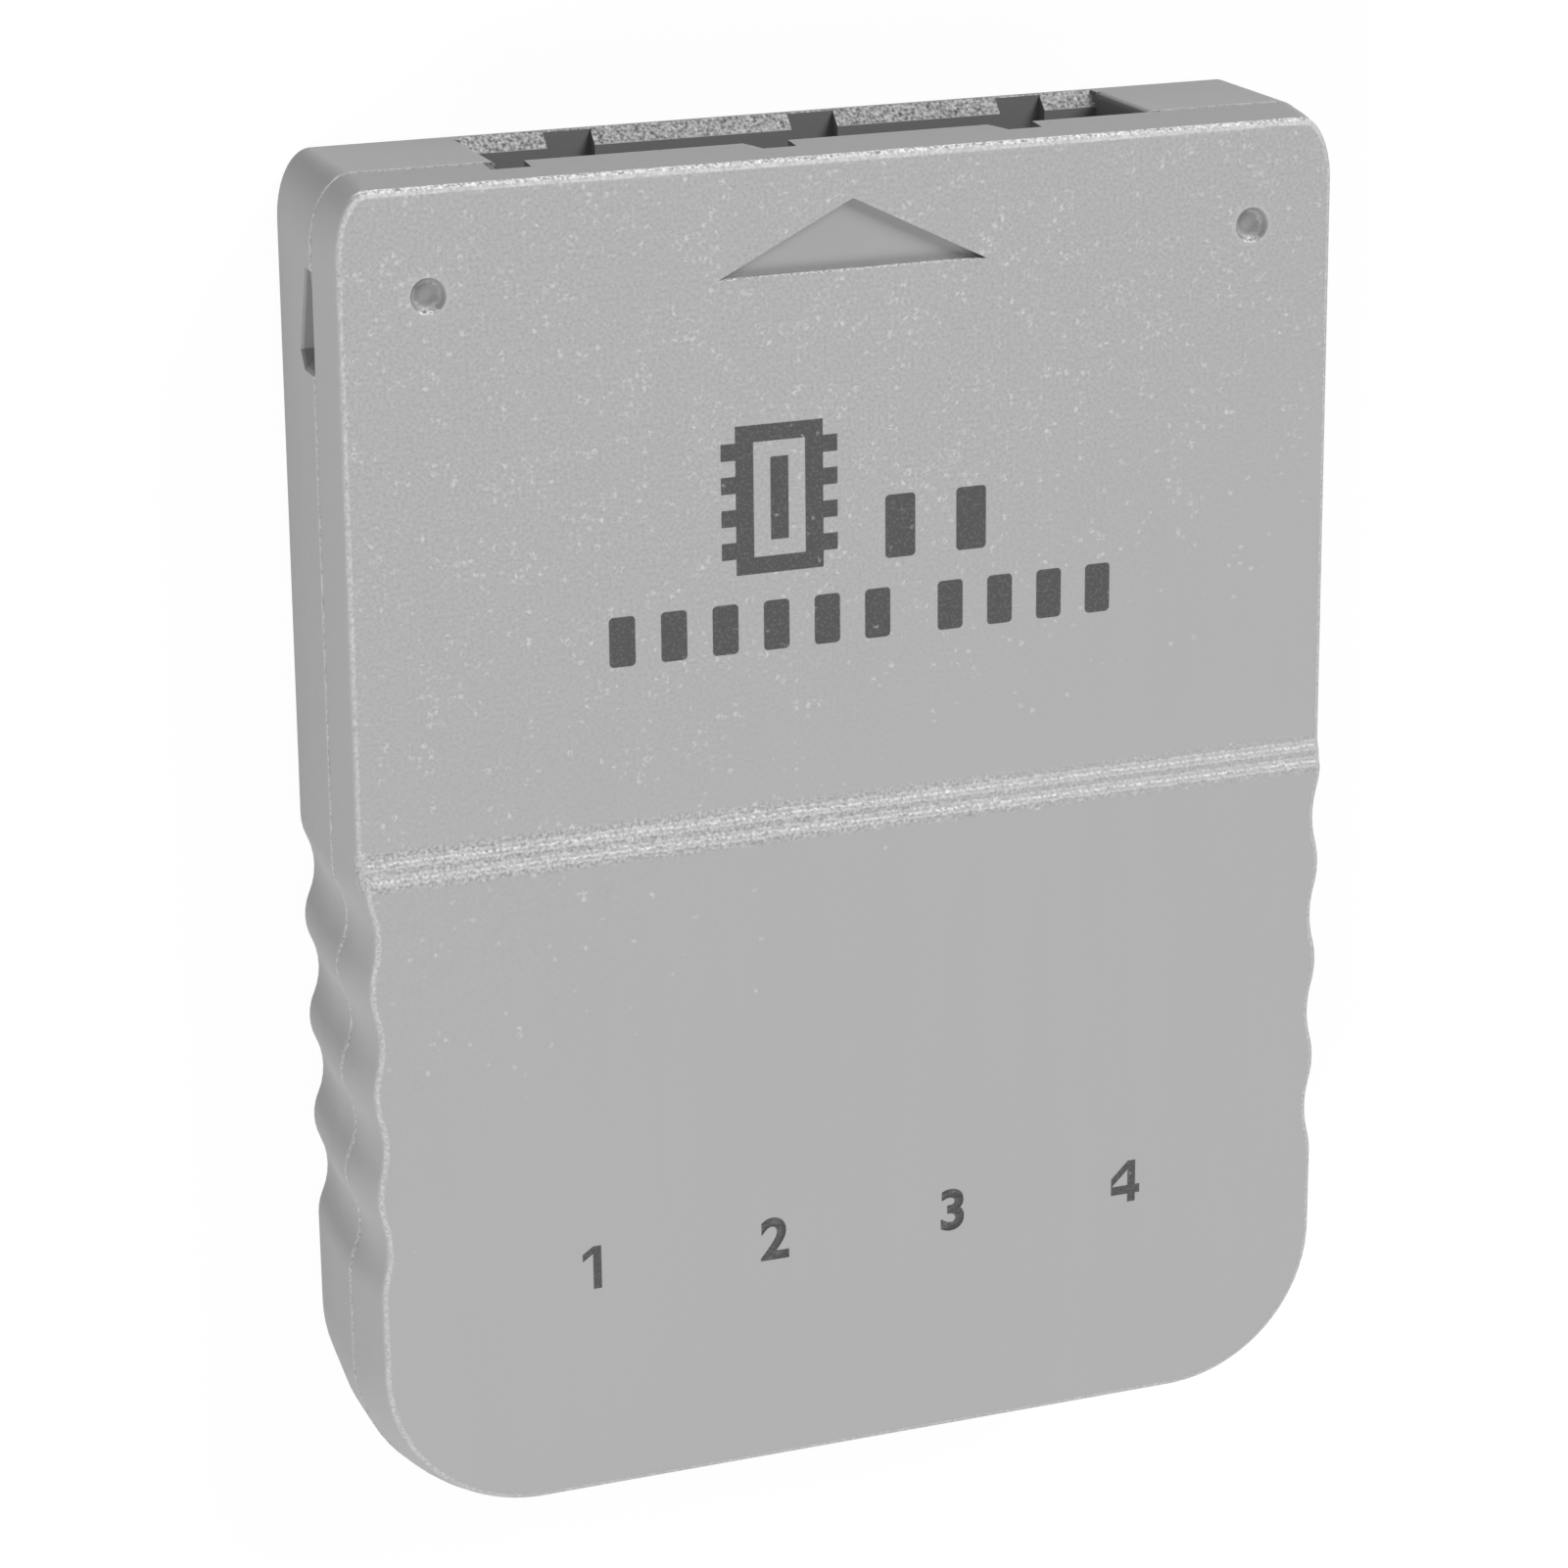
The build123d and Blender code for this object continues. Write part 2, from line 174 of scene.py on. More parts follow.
def node(tree, kind, inputs=None, **settings):
    """Add a node, set its options and feed its inputs with values or sockets."""
    made = tree.nodes.new(kind)
    for name, value in settings.items():
        setattr(made, name, value)
    for name, value in (inputs or {}).items():
        feed(tree, made.inputs[name], value)
    return made


def reckon(tree, operation, first, second=0.0, third=0.0):
    """One sum on up to three values or sockets."""
    inputs = {0: first, 1: second, 2: third}
    return node(tree, "ShaderNodeMath", inputs, operation=operation).outputs[0]


def product(tree, first, *others):
    """All the masks multiplied together."""
    for other in others:
        first = reckon(tree, "MULTIPLY", first, other)
    return first


def ramp(tree, value, low, high):
    """Smooth mask that goes from 0 at low to 1 at high."""
    inputs = {"Value": value, "From Min": low, "From Max": high}
    return node(tree, "ShaderNodeMapRange", inputs, interpolation_type="SMOOTHSTEP").outputs[0]


def blend(tree, share, first, second):
    """Colour between two colours."""
    mixed = node(tree, "ShaderNodeMix", data_type="RGBA")
    for place, value in ((0, share), (6, first), (7, second)):
        feed(tree, mixed.inputs[place], value)
    return mixed.outputs[2]


def new_group(name, inputs, outputs):
    """Shader node group with named inputs and outputs."""
    tree = bpy.data.node_groups.new(name, "ShaderNodeTree")
    for label, kind, value in inputs:
        socket = tree.interface.new_socket(label, in_out="INPUT", socket_type=kind)
        if value is not None:
            socket.default_value = value
    for label in outputs:
        tree.interface.new_socket(label, in_out="OUTPUT", socket_type="NodeSocketFloat")
    return tree, tree.nodes.new("NodeGroupInput").outputs, tree.nodes.new("NodeGroupOutput").inputs


def spark_grain_group():
    """Grain of a spark-eroded mould: fine pits about zero, and soft bright spots in clusters, used as painted
    glints on the shell and as bare or light specks in the ink and chip.
    """
    inputs = [("Place", "NodeSocketVector", None), ("Size", "NodeSocketFloat", 0.12)]
    inputs += [("Glints_and_specks", "NodeSocketFloat", 0.1)]
    tree, given, result = new_group("spark_grain", inputs, ["Pit", "Glint_and_speck"])
    per_mm = reckon(tree, "DIVIDE", 1.0, given["Size"])
    fine = node(tree, "ShaderNodeTexNoise", {"Vector": given["Place"], "Scale": per_mm, "Detail": 1.0})
    tree.links.new(reckon(tree, "SUBTRACT", fine.outputs[0], 0.5), result["Pit"])
    cluster = node(tree, "ShaderNodeTexNoise", {"Vector": given["Place"], "Scale": 0.6, "Detail": 2.0})
    amount = product(tree, given["Glints_and_specks"], ramp(tree, cluster.outputs[0], 0.38, 0.7))
    broad = reckon(tree, "MULTIPLY", per_mm, 0.55)
    grains = node(tree, "ShaderNodeTexVoronoi", {"Vector": given["Place"], "Scale": broad})
    drawn = node(tree, "ShaderNodeSeparateColor", {"Color": grains.outputs["Color"]}).outputs
    chosen = reckon(tree, "LESS_THAN", drawn[0], amount)
    strength = reckon(tree, "MULTIPLY_ADD", drawn[1], 0.7, 0.3)
    near = ramp(tree, grains.outputs["Distance"], 0.75, 0.1)
    ragged = ramp(tree, fine.outputs[0], 0.36, 0.56)
    tree.links.new(product(tree, chosen, near, strength, ragged), result["Glint_and_speck"])
    return tree


def moulding_tone_group():
    """Slow change of tone in moulded plastic, with faint flow streaks."""
    inputs = [("Place", "NodeSocketVector", None)]
    tree, given, result = new_group("moulding_tone", inputs, ["Tone"])
    slow = node(tree, "ShaderNodeTexNoise", {"Vector": given["Place"], "Scale": 0.07, "Detail": 3.0})
    turned = node(tree, "ShaderNodeMapping", {"Vector": given["Place"], "Rotation": (0, 0, 0.9)})
    turned.inputs["Scale"].default_value = (0.5, 0.06, 0.5)
    streak = node(tree, "ShaderNodeTexNoise", {"Vector": turned.outputs[0], "Scale": 1.0, "Detail": 2.0})
    both = reckon(tree, "ADD", slow.outputs[0], streak.outputs[0])
    tree.links.new(reckon(tree, "MULTIPLY", both, 0.5), result["Tone"])
    return tree


def fine_scratch_group():
    """Fine drawn lines along the length of plated metal."""
    inputs = [("Place", "NodeSocketVector", None)]
    tree, given, result = new_group("fine_scratch", inputs, ["Line"])
    drawn = node(tree, "ShaderNodeMapping", {"Vector": given["Place"], "Scale": (14.0, 0.6, 14.0)})
    lines = node(tree, "ShaderNodeTexNoise", {"Vector": drawn.outputs[0], "Scale": 1.0, "Detail": 3.0})
    tree.links.new(lines.outputs[0], result["Line"])
    return tree


SPARK_GRAIN = spark_grain_group()
MOULDING_TONE = moulding_tone_group()
FINE_SCRATCH = fine_scratch_group()


def new_material(name):
    """Node material with a Principled shader, and the place on the object in millimetres."""
    material = bpy.data.materials.new(name)
    material.use_nodes = True
    tree = material.node_tree
    tree.nodes.clear()
    out = tree.nodes.new("ShaderNodeOutputMaterial")
    skin = tree.nodes.new("ShaderNodeBsdfPrincipled")
    tree.links.new(skin.outputs["BSDF"], out.inputs["Surface"])
    metres = node(tree, "ShaderNodeTexCoord").outputs["Object"]
    place = node(tree, "ShaderNodeMapping", {"Vector": metres, "Scale": (1000, 1000, 1000)}).outputs[0]
    return material, tree, skin, place


def grouped(tree, group, inputs):
    """Place a node group in a material."""
    return node(tree, "ShaderNodeGroup", inputs, node_tree=group).outputs


def emboss(tree, skin, height, strength, depth_mm):
    """Bump on the shader from a height."""
    inputs = {"Height": height, "Strength": strength, "Distance": depth_mm * MM}
    tree.links.new(node(tree, "ShaderNodeBump", inputs).outputs[0], skin.inputs["Normal"])


def away_from(tree, value, middle):
    """Distance of a value from a middle."""
    return reckon(tree, "ABSOLUTE", reckon(tree, "SUBTRACT", value, middle))


def within(tree, value, low, high):
    """Mask of a value between two limits."""
    return product(tree, ramp(tree, value, low, low + FADE_WIDTH), ramp(tree, value, high, high - FADE_WIDTH))


def summed(tree, start, masks, shares):
    """Start value plus each named mask by its share."""
    for name, share in shares.items():
        start = reckon(tree, "MULTIPLY_ADD", masks[name], share, start)
    return start


def grain_and_arrow_shade_masks(tree, x, y, z, facing):
    """Grained front that fades toward the tail, the smooth floor of the arrow, which is also painted darker
    as shade in its recess, and a painted shadow along the arrow's foot.
    """
    flat = ramp(tree, facing["Z"], 0.93, 0.98)
    at_front = ramp(tree, z, ARROW_FLOOR + 0.1, ARROW_FLOOR + 0.2)
    fading = ramp(tree, reckon(tree, "MULTIPLY_ADD", x, GRAIN_LEAN, y), *GRAIN_FADE)
    grip = reckon(tree, "MULTIPLY_ADD", ramp(tree, y, STEP_TOP, STEP_FOOT), 0.3, 0.7)
    thinning = reckon(tree, "MULTIPLY_ADD", ramp(tree, y, *GRAIN_THINNING), 0.45, 0.55)
    masks = {"grain": product(tree, flat, at_front, fading, grip, thinning)}
    # Painted shade on the sunk arrow floor, and a painted shadow along its foot
    sunk = ramp(tree, away_from(tree, z, ARROW_FLOOR), 2 * FADE_WIDTH, FADE_WIDTH)
    masks["arrow_floor"] = product(tree, flat, sunk)
    masks["arrow_foot"] = product(tree, masks["arrow_floor"], ramp(tree, y, ARROW_BASE + 0.5, ARROW_BASE))
    return masks


def painted_highlight_masks(tree, x, y, z, facing):
    """Places with painted highlights: the rises of the step, the front edges and the connector edge, the lip
    of the arrow and the joint; also the step and the lead-in, where the grain is coarser and the painted
    glints lie thicker.
    """
    tilted = product(tree, ramp(tree, facing["Z"], 0.97, 0.86), ramp(tree, facing["Z"], 0.15, 0.5))
    at_front = ramp(tree, z, ARROW_FLOOR + 0.1, ARROW_FLOOR + 0.2)
    in_step = ramp(tree, y, STEP_TOP - 0.25, STEP_TOP)
    in_step = product(tree, in_step, ramp(tree, y, STEP_FOOT + 0.3, STEP_FOOT))
    calm = reckon(tree, "MULTIPLY_ADD", ramp(tree, x, *STEP_CALMING), -0.45, 1.0)
    masks = {"step": product(tree, in_step, at_front)}
    masks["step_speckle"] = product(tree, masks["step"], calm)
    # Painted highlight on the rises of the step
    masks["step_rise"] = product(tree, tilted, masks["step"])

    # Painted highlight along the front edges, stronger on the connector edge
    brow = product(tree, ramp(tree, facing["Z"], 0.985, 0.92), ramp(tree, facing["Z"], 0.45, 0.8))
    brow = product(tree, brow, ramp(tree, z, EDGE_START, EDGE_START + 0.2))
    masks["edge"] = reckon(tree, "MAXIMUM", reckon(tree, "SUBTRACT", brow, masks["step_rise"]), 0.0)
    masks["connector_edge"] = product(tree, masks["edge"], ramp(tree, facing["Y"], 0.2, 0.5))

    # Painted highlight on the lip of the arrow
    above_floor = ramp(tree, z, ARROW_FLOOR, ARROW_FLOOR + FADE_WIDTH)
    masks["arrow_lip"] = product(tree, ramp(tree, facing["Y"], 0.6, 0.9), above_floor)
    at_end = ramp(tree, y, LEAD_IN_START - FADE_WIDTH, LEAD_IN_START + FADE_WIDTH)
    low = ramp(tree, z, LEAD_IN_TOP + FADE_WIDTH, LEAD_IN_TOP - FADE_WIDTH)
    masks["lead_in"] = product(tree, at_end, tilted, low)
    # Painted light along the joint, which lifts the shade under the front shell's overhang into a bright line
    masks["joint"] = ramp(tree, away_from(tree, z, JOINT_HEIGHT - 0.07), 0.12, 0.04)
    return masks


def painted_shade_masks(tree, x, y, z, facing, lead_in):
    """Places painted darker as shade: dimples, side pockets, the front shell's end face and the inside of the
    mouth; and a painted highlight round the dimple rims.
    """
    out = reckon(tree, "ABSOLUTE", x)
    across = away_from(tree, out, DIMPLE_X)
    along = away_from(tree, y, DIMPLE_Y)
    spot = reckon(tree, "SQRT", reckon(tree, "MULTIPLY_ADD", across, across, product(tree, along, along)))
    # Painted shade on the dimple walls, and a painted highlight round their rims
    near = product(tree, ramp(tree, spot, DIMPLE_RADIUS + 0.25, DIMPLE_RADIUS), ramp(tree, z, *DIMPLE_RISE))
    hollow = ramp(tree, spot, DIMPLE_RADIUS + 0.02, DIMPLE_RADIUS - 0.08)
    masks = {"dimple_wall": product(tree, near, hollow, ramp(tree, spot, 0.1, 0.45))}
    masks["dimple_rim"] = product(tree, near, reckon(tree, "SUBTRACT", 1.0, hollow))

    # Painted shade in the side pockets
    pocket = ramp(tree, out, POCKET_FLOOR + FADE_WIDTH, POCKET_FLOOR - FADE_WIDTH)
    pocket = product(tree, pocket, ramp(tree, out, *POCKET_INSIDE))
    masks["pocket"] = product(tree, pocket, within(tree, y, *POCKET_SPAN), within(tree, z, *POCKET_RISE))
    # Painted shade on the front shell's end face
    end_face = ramp(tree, facing["Y"], 0.8, 0.95)
    end_face = product(tree, end_face, ramp(tree, z, JOINT_HEIGHT, JOINT_HEIGHT + 0.1))
    masks["end_face"] = product(tree, end_face, ramp(tree, y, CONNECTOR_END - 1.2, CONNECTOR_END - 1.0))

    # Painted shade inside the mouth, except on the lead-in
    mouth = ramp(tree, out, MOUTH_HALF + 0.15, MOUTH_HALF + 0.1)
    mouth = product(tree, mouth, ramp(tree, z, MOUTH_LOW, MOUTH_LOW + FADE_WIDTH))
    mouth = product(tree, mouth, ramp(tree, z, MOUTH_HIGH, MOUTH_HIGH - 2 * FADE_WIDTH))
    mouth = product(tree, mouth, ramp(tree, y, MOUTH_START, MOUTH_START + 2))
    mouth = product(tree, mouth, ramp(tree, facing["Y"], 0.8, 0.6))
    masks["mouth"] = reckon(tree, "MAXIMUM", reckon(tree, "SUBTRACT", mouth, lead_in), 0.0)
    return masks


def shell_plastic():
    """Grey moulded plastic with its grain, painted glints, painted highlights and painted shade."""
    material, tree, skin, place = new_material("shell_plastic")
    x, y, z = node(tree, "ShaderNodeSeparateXYZ", {"Vector": place}).outputs
    facing = node(tree, "ShaderNodeTexCoord").outputs["Normal"]
    facing = node(tree, "ShaderNodeSeparateXYZ", {"Vector": facing}).outputs
    masks = grain_and_arrow_shade_masks(tree, x, y, z, facing)
    masks.update(painted_highlight_masks(tree, x, y, z, facing))
    masks.update(painted_shade_masks(tree, x, y, z, facing, masks["lead_in"]))

    # How thick the painted glints lie in each place
    glint_amount = summed(tree, 0.0, masks, SHELL_GLINTS)
    grain = grouped(tree, SPARK_GRAIN, {"Place": place, "Size": GRAIN_SIZE, "Glints_and_specks": glint_amount})
    tone = grouped(tree, MOULDING_TONE, {"Place": place})["Tone"]
    coarse = summed(tree, 0.0, masks, SHELL_COARSENESS)
    shade = reckon(tree, "MULTIPLY_ADD", tone, TONE_RANGE, SHELL_GREY - TONE_RANGE / 2)
    shade = reckon(tree, "MULTIPLY_ADD", grain["Pit"], coarse, shade)
    # Painted glints lighten the colour
    shade = reckon(tree, "MULTIPLY_ADD", grain["Glint_and_speck"], PAINTED_GLINT, shade)
    # Painted light and shade by place
    shade = summed(tree, shade, masks, SHELL_SHADES)
    grey = node(tree, "ShaderNodeCombineColor", {"Red": shade, "Green": shade, "Blue": shade})
    tree.links.new(grey.outputs[0], skin.inputs["Base Color"])
    tree.links.new(reckon(tree, "MULTIPLY_ADD", grain["Pit"], 0.2, 0.62), skin.inputs["Roughness"])
    skin.inputs["Specular IOR Level"].default_value = 0.1
    depth = reckon(tree, "MULTIPLY_ADD", coarse, 1.5, 0.1)
    emboss(tree, skin, reckon(tree, "MULTIPLY", grain["Pit"], depth), 0.7, 0.05)
    return material


def print_ink():
    """Dark grey printing ink that follows the grain of the plastic."""
    material, tree, skin, place = new_material("print_ink")
    grain = grouped(tree, SPARK_GRAIN, {"Place": place, "Size": 0.12, "Glints_and_specks": 0.05})
    worn = ramp(tree, grain["Pit"], -0.05, 0.25)
    base = blend(tree, worn, INK_GREY, INK_WORN)
    tree.links.new(blend(tree, grain["Glint_and_speck"], base, INK_BARE), skin.inputs["Base Color"])
    skin.inputs["Roughness"].default_value = 0.55
    emboss(tree, skin, grain["Pit"], 0.4, 0.03)
    return material


def board_laminate():
    """Green solder mask over copper tracks on glass-fibre board."""
    material, tree, skin, place = new_material("board_laminate")
    apart = node(tree, "ShaderNodeSeparateXYZ", {"Vector": place}).outputs
    bent = node(tree, "ShaderNodeTexNoise", {"Vector": place, "Scale": 0.16, "Detail": 0.0}).outputs[0]
    lane = reckon(tree, "ADD", apart["X"], reckon(tree, "MULTIPLY", bent, 9.0))
    saw = reckon(tree, "PINGPONG", lane, 0.55)
    track = ramp(tree, saw, 0.24, 0.3)
    weave = node(tree, "ShaderNodeTexNoise", {"Vector": place, "Scale": 3.2, "Detail": 2.0}).outputs[0]
    base = blend(tree, track, BOARD_MASK, BOARD_TRACK)
    base = blend(tree, ramp(tree, weave, 0.5, 0.9), base, BOARD_WEAVE)
    tree.links.new(base, skin.inputs["Base Color"])
    gloss = reckon(tree, "MULTIPLY_ADD", weave, 0.2, 0.22)
    tree.links.new(gloss, skin.inputs["Roughness"])
    emboss(tree, skin, reckon(tree, "ADD", track, reckon(tree, "MULTIPLY", weave, 0.3)), 0.6, 0.03)
    return material


def plated_metal(name, bright, dull, smooth):
    """Plated metal with drawn lines and a little tarnish."""
    material, tree, skin, place = new_material(name)
    line = grouped(tree, FINE_SCRATCH, {"Place": place})["Line"]
    tone = node(tree, "ShaderNodeTexNoise", {"Vector": place, "Scale": 0.9, "Detail": 3.0}).outputs[0]
    tree.links.new(blend(tree, ramp(tree, tone, 0.4, 0.72), bright, dull), skin.inputs["Base Color"])
    skin.inputs["Metallic"].default_value = 1.0
    gloss = reckon(tree, "MULTIPLY_ADD", line, 0.25, smooth)
    tree.links.new(gloss, skin.inputs["Roughness"])
    emboss(tree, skin, line, 0.3, 0.01)
    return material


def chip_moulding():
    """Black moulding compound with a dull, slightly pitted skin."""
    material, tree, skin, place = new_material("chip_moulding")
    grain = grouped(tree, SPARK_GRAIN, {"Place": place, "Size": 0.09, "Glints_and_specks": 0.05})
    tone = grouped(tree, MOULDING_TONE, {"Place": place})["Tone"]
    base = blend(tree, ramp(tree, tone, 0.3, 0.7), CHIP_DARK, CHIP_LIGHT)
    tree.links.new(blend(tree, grain["Glint_and_speck"], base, CHIP_FLECK), skin.inputs["Base Color"])
    gloss = reckon(tree, "MULTIPLY_ADD", grain["Pit"], 0.3, 0.6)
    tree.links.new(gloss, skin.inputs["Roughness"])
    emboss(tree, skin, grain["Pit"], 0.5, 0.02)
    return material


def end_capped(carrier, body_dark, body_light, smooth):
    """Small soldered part: tinned ends on a ceramic or resin body."""
    material, tree, skin, place = new_material(carrier + "_skin")
    low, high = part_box(carrier)
    middle = (low[0] + high[0]) / 2 / MM
    half_body = (high[0] - low[0]) / 2 / MM - SOLDERED_END
    apart = node(tree, "ShaderNodeSeparateXYZ", {"Vector": place}).outputs
    out = away_from(tree, apart["X"], middle)
    cap = ramp(tree, out, half_body - 0.03, half_body + 0.03)
    speckle = node(tree, "ShaderNodeTexNoise", {"Vector": place, "Scale": 6.0, "Detail": 3.0}).outputs[0]
    body = blend(tree, ramp(tree, speckle, 0.35, 0.7), body_dark, body_light)
    tree.links.new(blend(tree, cap, body, SOLDER), skin.inputs["Base Color"])
    tree.links.new(cap, skin.inputs["Metallic"])
    gloss = reckon(tree, "MULTIPLY_ADD", speckle, 0.25, smooth)
    tree.links.new(gloss, skin.inputs["Roughness"])
    emboss(tree, skin, speckle, 0.3, 0.02)
    return material


def dress(name, material):
    """Give a CAD node its material."""
    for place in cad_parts[name].material_slots:
        place.material = material


def dress_frame():
    """Materials of every CAD node."""
    shell = shell_plastic()
    gold = plated_metal("contact_gold", *CONTACT_GOLD, smooth=0.14)
    tin = plated_metal("lead_tin", *LEAD_TIN, smooth=0.22)
    board = board_laminate()
    chip = chip_moulding()
    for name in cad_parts:
        if name.endswith("_shell"):
            dress(name, shell)
        elif name.startswith("contact_"):
            dress(name, gold)
        elif name.endswith("_leads"):
            dress(name, tin)
        elif name.endswith("_body"):
            dress(name, chip)
        elif name.startswith("capacitor_"):
            dress(name, end_capped(name, *CAPACITOR_BROWN, smooth=0.35))
        elif name.startswith("resistor_"):
            dress(name, end_capped(name, *RESISTOR_BLACK, smooth=0.2))
        elif name.startswith("page_lamp_"):
            dress(name, end_capped(name, *LAMP_CREAM, smooth=0.1))
        else:
            dress(name, board)


def start_piece(name, material):
    """Name the new active object and give it its material."""
    piece = bpy.context.object
    piece.name = name
    piece.data.name = name
    piece.data.materials.clear()
    piece.data.materials.append(material)
    return piece


def settle(piece):
    """Put the piece's place into its mesh, and fix it to the card."""
    bpy.ops.object.select_all(action="DESELECT")
    piece.select_set(True)
    bpy.context.view_layer.objects.active = piece
    bpy.ops.object.transform_apply(location=True, rotation=True, scale=True)
    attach(piece, "root")


def flat_plate(name, material, left, right, low, high, face):
    """Flat rectangle of ink on a face of the case, left in edit mode with everything selected."""
    bpy.ops.object.select_all(action="DESELECT")
    middle = ((left + right) / 2 * MM, (low + high) / 2 * MM, (face - INK_SINK) * MM)
    bpy.ops.mesh.primitive_plane_add(size=1, location=middle)
    piece = start_piece(name, material)
    bpy.ops.object.mode_set(mode="EDIT")
    bpy.ops.mesh.select_all(action="SELECT")
    bpy.ops.transform.resize(value=((right - left) * MM, (high - low) * MM, 1))
    return piece


def thicken():
    """Raise the flat print to the thickness of the ink and leave edit mode."""
    bpy.ops.mesh.select_all(action="SELECT")
    lift = {"value": (0, 0, (INK_THICKNESS + INK_SINK) * MM)}
    bpy.ops.mesh.extrude_region_move(TRANSFORM_OT_translate=lift)
    bpy.ops.mesh.select_all(action="SELECT")
    bpy.ops.mesh.normals_make_consistent(inside=False)
    bpy.ops.object.mode_set(mode="OBJECT")


def round_corners():
    """Round the four upright corners of a printed bar."""
    bpy.ops.mesh.select_all(action="SELECT")
    bpy.ops.mesh.bevel(offset=BAR_ROUNDING * MM, segments=4, affect="VERTICES")


def printed_bar(name, material, size):
    """Solid bar with round corners, modelled once about the origin of the upper face."""
    piece = flat_plate(name, material, -size[0] / 2, size[0] / 2, -size[1] / 2, size[1] / 2, UPPER_FACE)
    round_corners()
    thicken()
    return piece


def copy_to(pattern, name, x, y):
    """Copy of a printed bar with its own mesh at a place on the face."""
    piece = pattern.copy()
    piece.data = pattern.data.copy()
    piece.name = name
    piece.data.name = name
    bpy.context.scene.collection.objects.link(piece)
    piece.location.x += x * MM
    piece.location.y += y * MM
    settle(piece)


def bar_rows(material):
    """Two large bars beside the chip sign, and two runs of small bars below it."""
    large = printed_bar("large_bar", material, BIG_BAR)
    for i, (x, y) in enumerate(BIG_BAR_PLACES):
        copy_to(large, f"large_bar_{i + 1}", x, y)
    small = printed_bar("small_bar", material, SMALL_BAR)
    places = [FIRST_RUN_X + i * BAR_PITCH for i in range(FIRST_RUN_BARS)]
    places += [SECOND_RUN_X + i * BAR_PITCH for i in range(SECOND_RUN_BARS)]
    for i, x in enumerate(places):
        copy_to(small, f"small_bar_{i + 1}", x, SMALL_BAR_Y)
    for pattern in (large, small):
        bpy.data.objects.remove(pattern)


def chip_sign(material):
    """Plain sign of a chip: a frame with a core and four pins on each side."""
    columns, rows = 5, 9
    bpy.ops.object.select_all(action="DESELECT")
    left = SIGN_LEFT + SIGN_PIN
    right = SIGN_RIGHT - SIGN_PIN
    middle = ((left + right) / 2 * MM, (SIGN_LOW + SIGN_HIGH) / 2 * MM, (UPPER_FACE - INK_SINK) * MM)
    bpy.ops.mesh.primitive_grid_add(x_subdivisions=columns, y_subdivisions=rows, size=1, location=middle)
    piece = start_piece("chip_sign", material)
    bpy.ops.object.mode_set(mode="EDIT")
    bpy.ops.mesh.select_all(action="SELECT")
    bpy.ops.transform.resize(value=((right - left) * MM, (SIGN_HIGH - SIGN_LOW) * MM, 1))
    bpy.ops.mesh.select_mode(type="FACE")
    bpy.ops.mesh.select_all(action="DESELECT")
    bpy.ops.object.mode_set(mode="OBJECT")
    cell_x = (right - left) * MM / columns
    cell_y = (SIGN_HIGH - SIGN_LOW) * MM / rows
    for face in piece.data.polygons:
        column = round(face.center.x / cell_x + (columns - 1) / 2)
        row = round(face.center.y / cell_y + (rows - 1) / 2)
        face.select = min(column, columns - 1 - column, row, rows - 1 - row) == 1
    bpy.ops.object.mode_set(mode="EDIT")
    bpy.ops.mesh.delete(type="FACE")
    for sign in (-1, 1):
        bpy.ops.mesh.select_mode(type="EDGE")
        bpy.ops.mesh.select_all(action="DESELECT")
        bpy.ops.object.mode_set(mode="OBJECT")
        edge_x = sign * (right - left) * MM / 2
        points = piece.data.vertices
        for edge in piece.data.edges:
            ends = [points[i].co for i in edge.vertices]
            row = round((ends[0].y + ends[1].y) / 2 / cell_y + (rows - 1) / 2)
            on_side = all(abs(end.x - edge_x) < cell_x / 10 for end in ends)
            edge.select = on_side and row % 2 == 1
        bpy.ops.object.mode_set(mode="EDIT")
        out = {"value": (sign * SIGN_PIN * MM, 0, 0)}
        bpy.ops.mesh.extrude_region_move(TRANSFORM_OT_translate=out)
    thicken()
    settle(piece)


def stroke_figure(name, material, x, rows, strokes):
    """Plain figure of straight strokes: an upright, with strokes run out from rows of its sides."""
    bpy.ops.object.select_all(action="DESELECT")
    place = Vector((x, DIGIT_Y, GRIP_FACE - INK_SINK)) * MM
    bpy.ops.mesh.primitive_grid_add(x_subdivisions=1, y_subdivisions=rows, size=1, location=place)
    piece = start_piece(name, material)
    bpy.ops.object.mode_set(mode="EDIT")
    bpy.ops.mesh.select_all(action="SELECT")
    bpy.ops.transform.resize(value=(DIGIT_STROKE * MM, DIGIT_HEIGHT * MM, 1))
    bpy.ops.mesh.select_mode(type="EDGE")
    cell = DIGIT_HEIGHT * MM / rows
    for row, side, run in strokes:
        bpy.ops.mesh.select_all(action="DESELECT")
        bpy.ops.object.mode_set(mode="OBJECT")
        middle = Vector((side * DIGIT_STROKE / 2 * MM, (row + 0.5 - rows / 2) * cell, 0))
        points = piece.data.vertices
        for edge in piece.data.edges:
            ends = [points[i].co for i in edge.vertices]
            edge.select = ((ends[0] + ends[1]) / 2 - middle).length < cell / 10
        bpy.ops.object.mode_set(mode="EDIT")
        out = {"value": (run[0] * MM, run[1] * MM, 0)}
        bpy.ops.mesh.extrude_region_move(TRANSFORM_OT_translate=out)
    bpy.ops.mesh.select_all(action="SELECT")
    bpy.ops.mesh.remove_doubles(threshold=0.01 * MM)
    thicken()
    settle(piece)


